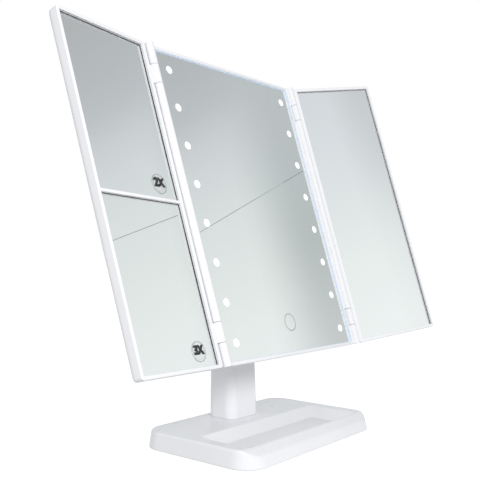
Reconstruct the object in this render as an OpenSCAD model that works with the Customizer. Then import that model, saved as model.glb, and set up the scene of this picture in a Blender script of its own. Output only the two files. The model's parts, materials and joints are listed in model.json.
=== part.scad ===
// Trifold vanity mirror with lights: a tray base with a post, a tilting centre mirror
// with two rows of LEDs, and two side mirrors that fold over the centre on barrel hinges.
// Frame: X to the viewer's right, Y away from the viewer, Z up, millimetres.
// The origin is the centre of the base's underside, on the surface that it stands on.

/* [Base] */
// Width of the base, left to right
base_w = 178; // [170:1:200]
// Depth of the base, front to back
base_d = 110; // [108:1:120]
// Height of the flat top of the base
base_h = 14.5; // [14:0.5:16]
// Height of the low front lip, below the sloping rim
front_lip_h = 8.3; // [7.5:0.1:9]
// Corner radius of the base in plan
base_corner = 19; // [16:1:22]
// Width of the tray's mouth
tray_w = 154; // [140:1:156]
// Height of the tray's floor above the table
tray_floor_z = 6.5; // [6.5:0.1:8]

/* [Post] */
// Width of the post
post_w = 38; // [36:1:42]
// Depth of the post at its foot
post_d = 28; // [27:1:30]
// Corner radius of the post
post_corner = 8; // [5:1:10]
// How far the front of the post leans back at its shoulder
post_lean = 6; // [3:0.5:7]

/* [Centre mirror] */
// Width of the visible glass
window_w = 168; // [160:1:180]
// Height of the visible glass, the same on all three mirrors
window_h = 236.6; // [220:0.2:250]
// Backward tilt of the head as it stands, in degrees
tilt = 18.6; // [10:0.1:25]
// Height of the glass's middle above the table
head_z = 187; // [185:1:195]
// Distance of the glass's middle behind the middle of the base
head_y = 5.5; // [3:0.5:8]

/* [Lights] */
// Lights in each of the two columns
led_count = 8; // [6:1:8]
// Distance between neighbouring lights
led_pitch = 30; // [26:1:30]
// Distance between the two columns of lights
led_spacing = 143.4; // [130:0.2:144]

/* [Wings] */
// Width of a wing's visible glass
wing_window_w = 79; // [70:1:79]
// Forward angle of the left wing, in degrees
left_angle = 6.1; // [0:0.1:60]
// Forward angle of the right wing, in degrees
right_angle = 26.4; // [0:0.1:60]
// Height of the bar between the 2x and 3x glasses
divider_h = 2.2; // [2:0.2:5]

/* [Hidden] */
$fn = 48;

// Screws: shank, clearance hole, and the boss that a screw bites into
shank_r = 1.3;
hole_r = 1.7;
head_t = 1.2;
boss_r = 3.4;

// Base
mat_t = 1;
shell_z = 0.6;
cover_t = 1.6;
wall = 2.2;
tray_front = -43.9;
tray_back = 4;
tray_r = 4;
tray_side_run = 14;
tray_back_run = 9.6;
tray_front_run = 6;
slope_start = tray_front + 0.6;
boss_x = base_w / 2 - 11;
boss_y = [-base_d / 2 + 15, base_d / 2 - 11];
weight_x = [25, base_w / 2 - 18];
weight_y = [9, base_d / 2 - 9];

// Post and tilt hinge
post_y = 32.5;
pivot_y = 34.5;
pivot_z = head_z - 47;
tongue_r = 11.5;
tongue_w = 18;
shoulder_z = pivot_z - 18;
post_boss = [12.5, 8];
axle_r = 3;
play = 0.05;
washer_t = 0.9;
ear_t = 6.6;
ear_x = tongue_w / 2 + play + washer_t;
ear_r = 11;

// Head: x across, y depth behind the glass's face, z up along the panel
glass_t = 3;
lip = 0.84;
panel_t = 9;
cover_rim = 1.6;
pane_x = window_w / 2 + 0.9;
pane_z = window_h / 2 + 1.1;
bezel_x = window_w / 2 + 1.9;
bezel_z = window_h / 2 + 2.7;
back_y = panel_t - lip;
plate_y = back_y - cover_rim;
dy = pivot_y - head_y;
dz = pivot_z - head_z;
pivot_depth = dy * cos(tilt) - dz * sin(tilt);
pivot_up = dy * sin(tilt) + dz * cos(tilt);
hump_x = 40;
hump_y = 22;
hump_bottom = pivot_up - 18;
hump_top = 44;
bay_x = 22.8;
bay_z = [-12, 38];
door_x = 25;
door_t = 1.7;
cell_r = 5.25;
cell_len = 44.5;
cell_pitch = 11.2;
cell_y = 14.7;
bracket_x = 26;
bracket_t = 2.5;
bracket_z = 13;
bracket_screw = [21.5, 8];
touch_z = -94.7;
screw_x = pane_x - 3.2;
screw_z = [-108, 0, 108];
head_screw_r = 1.1;
housing_wall = 3;
housing_screw_x = 31.4;
housing_screw_z = [-7, 36];
board_y = plate_y + 3;
board_t = 1.6;
usb_size = [6, 2.6, 7.6];
usb_corner = [hump_x - 6, 12, hump_bottom + 15];
wire_r = 0.5;
wire_y = plate_y - 0.6;
wire_exit = [30, -30];
groove_count = 6;
groove_pitch = 2.4;

// Wings: x outward from the hinge axis, y depth behind the axis, z up.
// Their glass lies deeper behind the bezel than the centre's.
hinge_gap = 0.5;
hinge_x = window_w / 2 + 5.4;
hinge_y = -lip - hinge_gap;
barrel_r = 3.3;
pin_r = 1;
cap_z = bezel_z - 17;
knuckle_z = cap_z - 15;
knuckle_gap = 0.25;
wing_in = 4.1;
wing_open = 7.8;
wing_out = wing_open + wing_window_w + 2.1;
wing_y = [hinge_gap, hinge_gap + panel_t];
wing_recess = 1.2;
wing_glass_y = hinge_gap + lip + wing_recess;
wing_glass_t = glass_t - wing_recess;
divider_z = -1.5;
label_r = 7.2;
label_t = 0.15;

// ---------- helpers ----------

module head_frame()
    translate([0, head_y, head_z]) rotate([-tilt, 0, 0]) children();

module wing_frame(angle)
    head_frame() translate([hinge_x, hinge_y, 0]) rotate([0, 0, -angle]) children();

module left_wing_frame()
    head_frame() mirror([1, 0, 0]) translate([hinge_x, hinge_y, 0])
        rotate([0, 0, -left_angle]) children();

module both_sides() {
    children();
    mirror([1, 0, 0]) children();
}

// a rectangle with round corners, from [x0, y0] to [x1, y1]
module round_rect(low, high, r) {
    translate([low[0] + r, low[1]]) square([high[0] - low[0] - 2 * r, high[1] - low[1]]);
    translate([low[0], low[1] + r]) square([high[0] - low[0], high[1] - low[1] - 2 * r]);
    for (x = [low[0] + r, high[0] - r], y = [low[1] + r, high[1] - r])
        translate([x, y]) circle(r, $fn = 32);
}

// the same rectangle as a flat slab standing in the X-Z plane, from depth y0 to y1
module upright_slab(low, high, r, y0, y1)
    translate([0, y1, 0]) rotate([90, 0, 0]) linear_extrude(y1 - y0)
        round_rect(low, high, r);

// a square-cornered box from one corner to the other
module block(low, high)
    translate(low) cube(high - low);

// a cylinder along Y, from depth y0 to y1
module rod_y(x, z, r, y0, y1)
    translate([x, y0, z]) rotate([-90, 0, 0]) cylinder(r = r, h = y1 - y0);

// a cylinder along X, from x0 to x1, at the origin
module rod_x(r, x0, x1)
    translate([x0, 0, 0]) rotate([0, 90, 0]) cylinder(r = r, h = x1 - x0);

// a countersunk-head screw along +Z, its head's outer face at z = 0
module screw(head_r, r, length) {
    cylinder(r = head_r, h = head_t);
    cylinder(r = r, h = length);
}

// ---------- base ----------

// a horizontal slice of the base, inset all round, with its own front edge
module base_slice(z, inset, front = 0)
    translate([0, 0, z]) linear_extrude(0.05)
        round_rect([-base_w / 2 + inset, max(-base_d / 2 + inset, front)],
            [base_w / 2 - inset, base_d / 2 - inset], max(base_corner - inset, 3));

// the base's outside, or its inside when shrunk by t
module base_form(t) {
    lip_y = -base_d / 2;
    hull() {
        base_slice(shell_z, 0.6 + t, lip_y);
        base_slice(shell_z + 0.8, t, lip_y);
        base_slice(front_lip_h - 1.3 - t / 2, 1.3 + t, lip_y);
        base_slice(front_lip_h - 0.05 - t, 1.9 + t, lip_y);
        base_slice(base_h - 2.2 - t, 2 + t, slope_start - 3.6 + t / 3);
        base_slice(base_h - 0.8 - t, 2.8 + t, slope_start - 1.4 + t / 3);
        base_slice(base_h - 0.05 - t, 4.4 + t, slope_start + t / 3);
    }
}

// the tray's hollow, or the hollow with its walls when grown by t
module tray_form(t)
    hull() {
        translate([0, 0, base_h]) linear_extrude(0.05)
            round_rect([-tray_w / 2 - t, tray_front - t],
                [tray_w / 2 + t, tray_back + t], tray_r + t);
        translate([0, 0, tray_floor_z - t]) linear_extrude(0.05)
            round_rect([-tray_w / 2 + tray_side_run - t, tray_front + tray_front_run - t],
                [tray_w / 2 - tray_side_run + t, tray_back - tray_back_run + t], tray_r + t);
    }

module base_shell()
    color("white") difference() {
        base_form(0);
        difference() {
            base_form(wall);
            tray_form(wall);
            base_bosses();
        }
        block([-base_w, -base_d, 0], [base_w, base_d, shell_z]);
        translate([0, 0, mat_t - 0.5]) cover_outline(0.1, cover_t + 0.5);
        tray_form(0);
        at_bosses() cylinder(r = shank_r, h = 9);
        at_post_screws() cylinder(r = hole_r, h = base_h + 1);
    }

module at_bosses()
    for (x = [-boss_x, boss_x], y = boss_y)
        translate([x, y, 0]) children();

module base_bosses()
    at_bosses() translate([0, 0, mat_t + cover_t]) cylinder(r = boss_r, h = base_h);

module cover_outline(grow, h)
    linear_extrude(h)
        round_rect([-base_w / 2 + 3 - grow, -base_d / 2 + 3 - grow],
            [base_w / 2 - 3 + grow, base_d / 2 - 3 + grow], base_corner - 3 + grow);

module base_cover()
    color("white") difference() {
        translate([0, 0, mat_t]) cover_outline(0, cover_t);
        at_bosses() {
            cylinder(r = hole_r, h = base_h);
            translate([0, 0, mat_t]) cylinder(r = 2.8, h = head_t);
        }
    }

module base_mat()
    color("dimgray") linear_extrude(mat_t)
        round_rect([-base_w / 2 + 6, -base_d / 2 + 6], [base_w / 2 - 6, base_d / 2 - 6],
            base_corner - 6);

module base_weights()
    color("gray") both_sides() difference() {
        block([weight_x[0], weight_y[0], mat_t + cover_t + 0.1],
            [weight_x[1], weight_y[1], base_h - 3]);
        translate([boss_x, boss_y[1], 0]) cylinder(r = 5, h = base_h);
    }

module base_screws()
    color("silver") at_bosses() translate([0, 0, mat_t]) screw(2.7, shank_r, 7);

// ---------- post ----------

module post_slice(z, lean, inset)
    translate([0, 0, z]) linear_extrude(0.05)
        round_rect([-post_w / 2 + inset, post_y - post_d / 2 + lean + inset],
            [post_w / 2 - inset, post_y + post_d / 2 - inset], post_corner - inset);

module at_post_screws()
    for (x = [-1, 1], y = [-1, 1])
        translate([x * post_boss[0], post_y + y * post_boss[1], 0]) children();

module post()
    color("white") difference() {
        union() {
            hull() {
                post_slice(base_h, 0, 0);
                post_slice(shoulder_z - 1.6, post_lean, 0);
                post_slice(shoulder_z - 0.05, post_lean, 1.4);
            }
            hull() {
                translate([0, pivot_y, pivot_z]) rod_x(tongue_r, -tongue_w / 2, tongue_w / 2);
                block([-tongue_w / 2, pivot_y - tongue_r, shoulder_z - 6],
                    [tongue_w / 2, pivot_y + tongue_r - 0.6, shoulder_z - 2]);
            }
        }
        difference() {
            hull() {
                post_slice(base_h - 0.1, 0, wall);
                post_slice(shoulder_z - 8, post_lean, wall);
            }
            at_post_screws() translate([0, 0, base_h]) cylinder(r = 3.6, h = 16);
        }
        at_post_screws() translate([0, 0, base_h - 1]) cylinder(r = shank_r, h = 14);
        translate([0, pivot_y, pivot_z]) rod_x(axle_r + play, -tongue_w, tongue_w);
    }

module post_screws()
    color("silver") at_post_screws() translate([0, 0, base_h - wall - head_t])
        screw(2.8, shank_r, 14);

// ---------- tilt hinge ----------

module at_pivot()
    head_frame() translate([0, pivot_depth, pivot_up]) children();

module tilt_bracket()
    color("white") difference() {
        union() {
            head_frame() block([-bracket_x, hump_y, pivot_up - bracket_z],
                [bracket_x, hump_y + bracket_t, pivot_up + bracket_z]);
            for (side = [0, 1])
                at_pivot() mirror([side, 0, 0]) hull() {
                    rod_x(ear_r, ear_x, ear_x + ear_t);
                    block([ear_x, hump_y - pivot_depth, -ear_r - 1],
                        [ear_x + ear_t, hump_y - pivot_depth + bracket_t, ear_r + 1]);
                }
        }
        at_pivot() rod_x(axle_r, -post_w, post_w);
        at_pivot() rod_x(5.6, ear_x + ear_t - 3, post_w);
        at_pivot() rod_x(5.6, -post_w, -ear_x - ear_t + 3);
        head_frame() bracket_rods(hole_r, hump_y - 1, hump_y + 2 * bracket_t);
    }

// a rod along Y at each of the bracket's four screws
module bracket_rods(r, y0, y1)
    for (x = [-1, 1], z = [-1, 1])
        rod_y(x * bracket_screw[0], pivot_up + z * bracket_screw[1], r, y0, y1);

module bracket_screws()
    color("silver") head_frame() {
        bracket_rods(3, hump_y + bracket_t, hump_y + bracket_t + head_t);
        bracket_rods(shank_r, hump_y - 5.3, hump_y + bracket_t + head_t);
    }

module tilt_axle()
    color("silver") at_pivot() {
        rod_x(axle_r, -ear_x - ear_t + 3, ear_x + ear_t - 0.6);
        rod_x(5, -ear_x - ear_t + 1, -ear_x - ear_t + 3);
    }

module tilt_nut()
    color("silver") at_pivot() difference() {
        translate([ear_x + ear_t - 3, 0, 0]) rotate([0, 90, 0])
            cylinder(r = 5.4, h = 2.2, $fn = 6);
        rod_x(axle_r, 0, post_w);
    }

module friction_washers()
    color("dimgray") at_pivot() both_sides() difference() {
        rod_x(9, ear_x - washer_t, ear_x);
        rod_x(axle_r + play, 0, post_w);
    }

module axle_caps()
    color("white") at_pivot() both_sides()
        rod_x(5.5, ear_x + ear_t - 0.5, ear_x + ear_t + 0.5);

// ---------- centre mirror ----------

// the outside of a mirror panel: a thin box with softened front and rear edges
module panel_form(low, high, y0, y1) {
    hull() {
        upright_slab(low + [0.5, 0.5], high - [0.5, 0.5], 2, y0, y0 + 0.2);
        upright_slab(low, high, 2.5, y0 + 0.5, y1 - 2.4);
        upright_slab(low + [0.7, 0.7], high - [0.7, 0.7], 2, y1 - 0.8, y1 - 0.7);
        upright_slab(low + [2.2, 2.2], high - [2.2, 2.2], 1.6, y1 - 0.1, y1);
    }
}

// hinge barrels of the centre panel on the right side, in wing axes: two ends and a middle
module centre_barrels() {
    for (span = [[-bezel_z, -cap_z], [-knuckle_z, knuckle_z], [cap_z, bezel_z]])
        translate([hinge_x, hinge_y, span[0]]) {
            cylinder(r = barrel_r, h = span[1] - span[0]);
            block([-hinge_x + bezel_x - 0.6, hinge_gap, 0],
                [0, barrel_r, span[1] - span[0]]);
        }
}

module centre_bezel()
    color("white") head_frame() difference() {
        union() {
            panel_form([-bezel_x, -bezel_z], [bezel_x, bezel_z], -lip, back_y);
            both_sides() centre_barrels();
        }
        block([-window_w / 2, -lip - 1, -window_h / 2], [window_w / 2, 1, window_h / 2]);
        difference() {
            block([-pane_x, 0, -pane_z], [pane_x, back_y + 1, pane_z]);
            both_sides() for (z = screw_z)
                block([pane_x - 6.5, glass_t + 0.1, z - 3], [pane_x + 1, plate_y, z + 3]);
        }
        head_rods(head_screw_r, glass_t + 0.5, back_y + 1);
        both_sides() for (side = [0, 1])
            mirror([0, 0, side]) translate([hinge_x, hinge_y, knuckle_z - 10])
                cylinder(r = pin_r, h = bezel_z);
    }

// a rod along Y at each of the six screws that hold the back shell
module head_rods(r, y0, y1)
    both_sides() for (z = screw_z)
        rod_y(screw_x, z, r, y0, y1);

module centre_glass()
    color("lightblue") head_frame()
        block([-pane_x + 0.1, 0, -pane_z + 0.1], [pane_x - 0.1, glass_t, pane_z - 0.1]);

module tape_strips(x0, x1, z_ends, y0, y1)
    for (z = z_ends)
        block([x0, y0, z - 3], [x1, y1, z + 3]);

module centre_tape()
    color("gray") head_frame()
        tape_strips(-60, 60, [-pane_z + 6, pane_z - 6], glass_t, plate_y);

module light_diffusers()
    color("white") head_frame() both_sides()
        block([led_spacing / 2 - 4.5, glass_t, -led_count * led_pitch / 2 + 8],
            [led_spacing / 2 + 4.5, glass_t + 0.8, led_count * led_pitch / 2 - 8]);

module led_board(side)
    color("seagreen") head_frame()
        block([side * led_spacing / 2 - 4.5, plate_y - 1, -led_count * led_pitch / 2 + 8],
            [side * led_spacing / 2 + 4.5, plate_y, led_count * led_pitch / 2 - 8]);

module led_board_left() led_board(-1);

module led_board_right() led_board(1);

module leds()
    color("khaki") head_frame() both_sides() for (i = [0:led_count - 1])
        translate([led_spacing / 2, plate_y - 2, (i - (led_count - 1) / 2) * led_pitch])
            block([-1.75, 0, -1.75], [1.75, 1, 1.75]);

module touch_pad()
    color("orange") head_frame() rod_y(0, touch_z, 7, glass_t, glass_t + 0.3);

module touch_board()
    color("seagreen") head_frame()
        block([-12, glass_t + 0.4, touch_z - 12], [12, glass_t + 1.6, touch_z + 12]);

// ---------- back of the head ----------

module back_shell()
    color("white") head_frame() difference() {
        upright_slab([-pane_x + 0.2, -pane_z + 0.2], [pane_x - 0.2, pane_z - 0.2], 1.5,
            plate_y, back_y);
        head_rods(shank_r, 0, back_y + 1);
        head_rods(2.6, back_y - head_t, back_y + 1);
        housing_rods(hole_r, 0, back_y + 1);
        both_sides() rod_y(wire_exit[0], wire_exit[1], 2.5, 0, back_y + 1);
        rod_y(0, hump_bottom + 6, 4, 0, back_y + 1);
    }

// a rod along Y at each of the four screws that hold the battery housing
module housing_rods(r, y0, y1)
    both_sides() for (z = housing_screw_z)
        rod_y(housing_screw_x, z, r, y0, y1);

module housing_form()
    hull() {
        upright_slab([-hump_x, hump_bottom], [hump_x, hump_top], 6, back_y, hump_y - 3);
        upright_slab([-hump_x + 1.4, hump_bottom + 1.4], [hump_x - 1.4, hump_top - 1.4], 5,
            hump_y - 0.9, hump_y - 0.8);
        upright_slab([-hump_x + 3, hump_bottom + 3], [hump_x - 3, hump_top - 3], 4,
            hump_y - 0.1, hump_y);
    }

module battery_housing()
    color("white") head_frame() difference() {
        housing_form();
        // room for the electronics below the battery bay
        difference() {
            block([-hump_x + housing_wall, back_y - 1, hump_bottom + housing_wall],
                [hump_x - housing_wall, hump_y - wall, bay_z[0] - 2]);
            bracket_rods(boss_r, back_y, hump_y);
        }
        // spaces beside the battery bay, each with two screw bosses
        difference() {
            both_sides() block([bay_x + 3, back_y - 1, bay_z[0]],
                [hump_x - housing_wall, hump_y - 4.5, hump_top - housing_wall]);
            housing_rods(boss_r, back_y, hump_y - 2);
        }
        // battery bay, open at the rear, and the door's channel with side grooves
        block([-bay_x, cell_y - cell_r - 0.3, bay_z[0]], [bay_x, hump_y + 1, bay_z[1]]);
        block([-door_x, hump_y - door_t - 0.1, bay_z[0] - 1.1], [door_x, hump_y + 1, 60]);
        block([-door_x - 1.6, hump_y - door_t - 0.1, bay_z[0] - 1.1],
            [door_x + 1.6, hump_y - door_t + 0.9, 60]);
        bracket_rods(shank_r, 14, hump_y + 1);
        housing_rods(shank_r, back_y - 1, hump_y - 6);
        translate(usb_corner - [2, 0.1, 0.1]) cube(usb_size + [4, 0.2, 0.2]);
    }

module housing_screws()
    color("silver") head_frame() {
        housing_rods(3, plate_y - head_t, plate_y);
        housing_rods(shank_r, plate_y - head_t, hump_y - 7);
    }

module usb_socket()
    color("silver") head_frame() difference() {
        translate(usb_corner) cube(usb_size - [0.4, 0, 0]);
        translate(usb_corner + [1, 0.3, 0.3]) cube(usb_size - [0, 0.6, 0.6]);
    }

module control_board()
    color("seagreen") head_frame() difference() {
        block([-hump_x + 4, board_y, hump_bottom + 4],
            [hump_x - 4, board_y + board_t, bay_z[0] - 3]);
        bracket_rods(boss_r + 0.2, 0, hump_y);
    }

// a straight run of insulated wire between two points at one depth
module wire(from, to)
    translate([from[0], wire_y, from[1]])
        rotate([0, atan2(to[0] - from[0], to[1] - from[1]), 0])
            cylinder(r = wire_r, h = norm(to - from), $fn = 16);

module wiring()
    color("firebrick") head_frame() {
        both_sides() {
            wire(wire_exit, [led_spacing / 2 - 6, wire_exit[1] - 20]);
            rod_y(wire_exit[0], wire_exit[1], wire_r, wire_y, board_y);
        }
        for (x = [-2, 2]) {
            wire([x, touch_z + 12.6], [x, hump_bottom + 6]);
            rod_y(x, hump_bottom + 6, wire_r, wire_y, board_y);
        }
    }

module cell_places()
    for (i = [0:3])
        translate([(i - 1.5) * cell_pitch, cell_y, bay_z[0]])
            mirror([0, 0, i % 2]) translate([0, 0, i % 2 == 0 ? 0 : bay_z[0] - bay_z[1]])
                children();

module battery_cells()
    color("gold") head_frame() cell_places()
        translate([0, 0, bay_z[1] - bay_z[0] - cell_len - 0.5]) {
            cylinder(r = cell_r, h = cell_len - 1);
            cylinder(r = 1.9, h = cell_len);
        }

module battery_contacts()
    color("silver") head_frame() for (z = [bay_z[0], bay_z[1] - 0.4], i = [0:3])
        translate([(i - 1.5) * cell_pitch, cell_y, z]) block([-4.4, -4, 0], [4.4, 4, 0.4]);

module battery_springs()
    color("silver") head_frame() cell_places()
        for (ring = [0:4])
            translate([0, 0, 0.85 + ring * 0.78]) rotate_extrude()
                translate([3.6 - ring * 0.3, 0]) circle(0.42, $fn = 16);

module battery_door()
    color("white") head_frame() difference() {
        union() {
            block([-door_x + 0.1, hump_y - door_t, bay_z[0] - 1],
                [door_x - 0.1, hump_y, hump_top - 3.2]);
            block([-door_x - 1.4, hump_y - door_t, bay_z[0] - 1],
                [door_x + 1.4, hump_y - door_t + 0.8, hump_top - 3.2]);
        }
        for (i = [0:groove_count - 1])
            translate([0, 0, bay_z[0] + 8 + i * groove_pitch])
                block([-8, hump_y - 0.5, 0], [8, hump_y + 1, groove_pitch / 2]);
    }

module head_screws()
    color("silver") head_frame() {
        head_rods(2.4, back_y - 1.1, back_y - 0.1);
        head_rods(head_screw_r, glass_t + 0.6, back_y - 0.1);
    }

module hinge_pins()
    color("silver") head_frame() both_sides() for (side = [0, 1])
        mirror([0, 0, side]) translate([hinge_x, hinge_y, knuckle_z - 9.5])
            cylinder(r = pin_r, h = bezel_z - 1 - (knuckle_z - 9.5));

// ---------- wings ----------

module wing_shell(divider) {
    in = wing_in;
    difference() {
        union() {
            panel_form([in, -bezel_z], [wing_out, bezel_z], wing_y[0], wing_y[1]);
            for (side = [0, 1])
                mirror([0, 0, side]) translate([0, 0, knuckle_z + knuckle_gap]) {
                    cylinder(r = barrel_r, h = 15 - 2 * knuckle_gap);
                    block([0, hinge_gap, 0], [in + 1, barrel_r, 15 - 2 * knuckle_gap]);
                }
        }
        difference() {
            block([wing_open, 0, -window_h / 2],
                [wing_open + wing_window_w, wing_glass_y + 1, window_h / 2]);
            if (divider) divider_bar(0, wing_glass_y, divider_h);
        }
        difference() {
            block([wing_open - 1, wing_glass_y, -pane_z],
                [wing_open + wing_window_w + 1, wing_y[1] + 1, pane_z]);
            if (divider) divider_bar(wing_glass_y, wing_y[1] - cover_rim - 0.1, 1);
        }
        for (side = [0, 1])
            mirror([0, 0, side]) translate([0, 0, knuckle_z - 10])
                cylinder(r = pin_r + play, h = 40);
    }
}

// one depth of the bar between the upper and lower glass, h high
module divider_bar(y0, y1, h)
    block([0, y0, divider_z - h / 2], [wing_out, y1, divider_z + h / 2]);

module wing_pane(z0, z1)
    block([wing_open - 0.9, wing_glass_y, z0],
        [wing_open + wing_window_w + 0.9, wing_glass_y + wing_glass_t, z1]);

module wing_cover()
    upright_slab([wing_open - 0.9, -pane_z + 0.1],
        [wing_open + wing_window_w + 0.9, pane_z - 0.1], 1, wing_y[1] - cover_rim, wing_y[1]);

module left_frame()
    color("white") left_wing_frame() wing_shell(true);

module glass_2x()
    color("lightblue") left_wing_frame() wing_pane(divider_z + 0.6, pane_z - 0.1);

module glass_3x()
    color("lightblue") left_wing_frame() wing_pane(-pane_z + 0.1, divider_z - 0.6);

module label(x, z)
    left_wing_frame() rod_y(x, z, label_r, wing_glass_y - label_t, wing_glass_y);

module label_2x()
    color("whitesmoke") label(wing_open + 16.1, 10.8);

module label_3x()
    color("whitesmoke") label(wing_open + 16.9, -107.5);

module left_back()
    color("white") left_wing_frame() wing_cover();

module wing_tape(z_ends)
    tape_strips(wing_open + 8, wing_open + wing_window_w - 8, z_ends,
        wing_glass_y + wing_glass_t, wing_y[1] - cover_rim);

module left_tape()
    color("gray") left_wing_frame() wing_tape([-pane_z + 8, -12, 8, pane_z - 8]);

module right_frame()
    color("white") wing_frame(right_angle) wing_shell(false);

module right_glass()
    color("lightblue") wing_frame(right_angle) wing_pane(-pane_z + 0.1, pane_z - 0.1);

module right_back()
    color("white") wing_frame(right_angle) wing_cover();

module right_tape()
    color("gray") wing_frame(right_angle) wing_tape([-pane_z + 8, 0, pane_z - 8]);

// ---------- the nodes ----------

base_shell();
base_cover();
base_mat();
base_weights();
base_screws();
post();
post_screws();
tilt_bracket();
bracket_screws();
tilt_axle();
tilt_nut();
friction_washers();
axle_caps();
centre_bezel();
centre_glass();
centre_tape();
light_diffusers();
led_board_left();
led_board_right();
leds();
touch_pad();
touch_board();
control_board();
usb_socket();
wiring();
battery_cells();
battery_contacts();
battery_springs();
battery_door();
battery_housing();
housing_screws();
back_shell();
head_screws();
hinge_pins();
left_frame();
glass_2x();
glass_3x();
label_2x();
label_3x();
left_back();
left_tape();
right_frame();
right_glass();
right_back();
right_tape();
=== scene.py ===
import json
import math

import bmesh
import bpy
from mathutils import Matrix, Vector


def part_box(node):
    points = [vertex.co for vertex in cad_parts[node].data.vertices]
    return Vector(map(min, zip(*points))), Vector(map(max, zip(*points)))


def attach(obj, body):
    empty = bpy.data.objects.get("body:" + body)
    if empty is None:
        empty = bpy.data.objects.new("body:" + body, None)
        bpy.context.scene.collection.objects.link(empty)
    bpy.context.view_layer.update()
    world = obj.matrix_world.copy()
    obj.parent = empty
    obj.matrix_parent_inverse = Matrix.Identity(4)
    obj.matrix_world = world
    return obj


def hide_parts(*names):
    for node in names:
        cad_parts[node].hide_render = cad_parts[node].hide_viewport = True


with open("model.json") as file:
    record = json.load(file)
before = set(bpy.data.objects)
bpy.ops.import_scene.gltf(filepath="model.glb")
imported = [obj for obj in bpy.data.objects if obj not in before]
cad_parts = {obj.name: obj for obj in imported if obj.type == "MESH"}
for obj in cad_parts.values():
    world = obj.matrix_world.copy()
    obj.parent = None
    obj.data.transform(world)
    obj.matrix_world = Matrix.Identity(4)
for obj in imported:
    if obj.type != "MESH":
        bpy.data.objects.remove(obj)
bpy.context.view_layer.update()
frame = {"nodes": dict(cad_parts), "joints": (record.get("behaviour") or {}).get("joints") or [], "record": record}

MM = 0.001

# ---------- the panels' own frames, worked out from the joints ----------
# Local axes, in millimetres: x across the panel, y into its depth, z up along it.


def space(origin, across, depth, up):
    """Matrix from a local frame in millimetres to the row frame in metres."""
    rotation = Matrix((across, depth, up)).transposed().to_4x4()
    return Matrix.Translation(origin) @ rotation @ Matrix.Scale(MM, 4)


def joint(name):
    return next(j for j in frame["joints"] if j["name"] == name)


def local_box(node, matrix):
    """Lowest and highest corner of a CAD node in a local frame."""
    inverse = matrix.inverted()
    points = [inverse @ v.co for v in frame["nodes"][node].data.vertices]
    low = Vector([min(p[i] for p in points) for i in range(3)])
    high = Vector([max(p[i] for p in points) for i in range(3)])
    return low, high


X = Vector((1, 0, 0))
UP = Vector(joint("left_wing_fold")["axis"]).normalized()
DEPTH = UP.cross(X)
WORLD = Matrix.Scale(MM, 4)


def head_space():
    """The centre mirror's frame: its origin is the middle of the glass's face."""
    low, high = local_box("centre_glass", space(Vector(), X, DEPTH, UP))
    middle = (low + high) / 2 * MM
    return space(X * middle.x + DEPTH * low.y * MM + UP * middle.z, X, DEPTH, UP)


def wing_space(name, side):
    """A wing's frame: its origin is on the hinge's axis, and x points away from the hinge."""
    fold = joint(name)
    open_angle = math.radians(-fold["range_deg"][0])
    across = X * side * math.cos(open_angle) - DEPTH * math.sin(open_angle)
    depth = X * side * math.sin(open_angle) + DEPTH * math.cos(open_angle)
    return space(Vector(fold["pos_m"]), across, depth, UP)


HEAD = head_space()
LEFT = wing_space("left_wing_fold", -1)
RIGHT = wing_space("right_wing_fold", 1)
PIVOT = HEAD.inverted() @ Vector(joint("head_tilt")["pos_m"])


# ---------- mesh helpers ----------


def rounded_rect(x0, x1, y0, y1, r, corner=8, side=1):
    """Points round a rectangle with round corners, corner steps in each arc, side steps on each edge."""
    points = []
    centres = [(x1 - r, y0 + r, -90), (x1 - r, y1 - r, 0), (x0 + r, y1 - r, 90), (x0 + r, y0 + r, 180)]
    for cx, cy, start in centres:
        for i in range(corner + 1):
            a = math.radians(start + 90 * i / corner)
            points.append((cx + r * math.cos(a), cy + r * math.sin(a)))
    per_arc = corner + 1
    spread = []
    for c in range(4):
        arc = points[c * per_arc:(c + 1) * per_arc]
        after = points[((c + 1) * per_arc) % len(points)]
        spread += arc
        for i in range(1, side):
            t = i / side
            spread.append(tuple(arc[-1][k] + (after[k] - arc[-1][k]) * t for k in (0, 1)))
    return spread


def loft(rings, wrap=False):
    """A closed mesh through rings of points: capped at both ends, or wrapped round into a ring."""
    bm = bmesh.new()
    rows = [[bm.verts.new(p) for p in ring] for ring in rings]
    count = len(rows[0])
    following = rows[1:] + rows[:1] if wrap else rows[1:]
    for a, b in zip(rows, following):
        for i in range(count):
            j = (i + 1) % count
            bm.faces.new((a[i], a[j], b[j], b[i]))
    if not wrap:
        bm.faces.new(rows[0])
        bm.faces.new(rows[-1])
    bmesh.ops.recalc_face_normals(bm, faces=bm.faces)
    return bm


def merged(solids):
    """One mesh from several separate solids."""
    whole = bmesh.new()
    for bm in solids:
        part = bpy.data.meshes.new("part")
        bm.to_mesh(part)
        bm.free()
        whole.from_mesh(part)
        bpy.data.meshes.remove(part)
    return whole


def add_object(name, bm):
    mesh = bpy.data.meshes.new(name)
    bm.to_mesh(mesh)
    bm.free()
    obj = bpy.data.objects.new(name, mesh)
    bpy.context.scene.collection.objects.link(obj)
    return obj


def bake(obj):
    """Applies the object's modifiers to its mesh."""
    graph = bpy.context.evaluated_depsgraph_get()
    mesh = bpy.data.meshes.new_from_object(obj.evaluated_get(graph))
    obj.modifiers.clear()
    obj.data = mesh


def combine(obj, tools, operation):
    """Cuts the tools from the object, or joins them to it, and removes them."""
    for tool in tools:
        boolean = obj.modifiers.new(operation, "BOOLEAN")
        boolean.object = tool
        boolean.operation = operation
        boolean.solver = "EXACT"
        bake(obj)
        bpy.data.objects.remove(tool)
    return obj


def cut(obj, *tools):
    return combine(obj, tools, "DIFFERENCE")


def join(obj, *tools):
    return combine(obj, tools, "UNION")


def slab(outline, levels):
    """A solid from outline(inset), a ring function in a plane, at levels of (inset, height)."""
    return loft([[(u, h, v) for u, v in outline(inset)] for inset, h in levels])


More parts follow.
